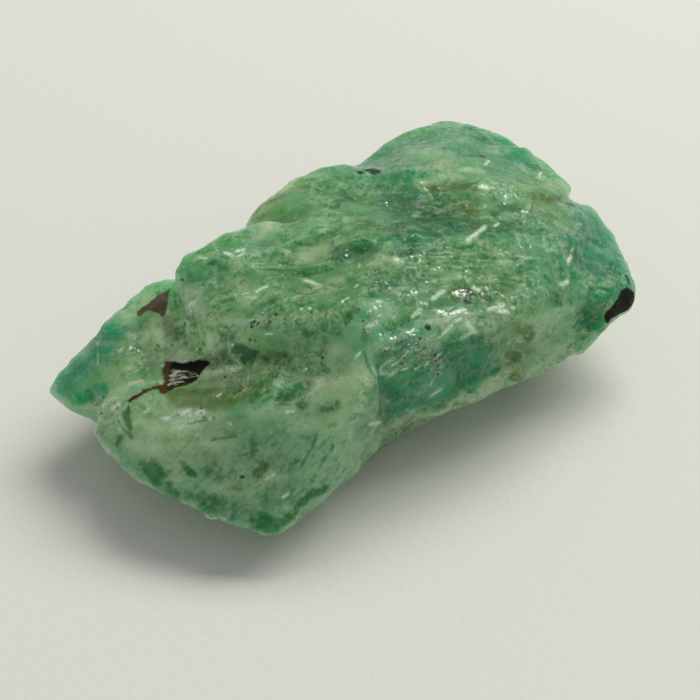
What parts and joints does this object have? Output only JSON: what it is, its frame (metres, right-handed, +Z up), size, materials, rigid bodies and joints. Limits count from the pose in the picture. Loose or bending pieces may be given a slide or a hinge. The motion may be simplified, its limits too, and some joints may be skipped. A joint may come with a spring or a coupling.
{
  "type": "raw emerald crystal",
  "caption": "Raw emerald crystal: an angular, broken block of milky green beryl with stepped growth layers and dark mica grown in, lying on its flat underside.",
  "frame": {"origin": "on the flat underside that the stone rests on, under the middle of its bounding box", "axes": "+X along the stone's length, towards the end with the dark mica tip; +Z up, away from the flat underside; +Y towards the taller, paler back"},
  "size_m": [0.0352, 0.021, 0.012],
  "materials": {
    "beryl": "vitreous, milky and broken, with dark mica grains"
  },
  "bodies": {
    "root": {"emerald": "beryl"}
  },
  "joints": []
}
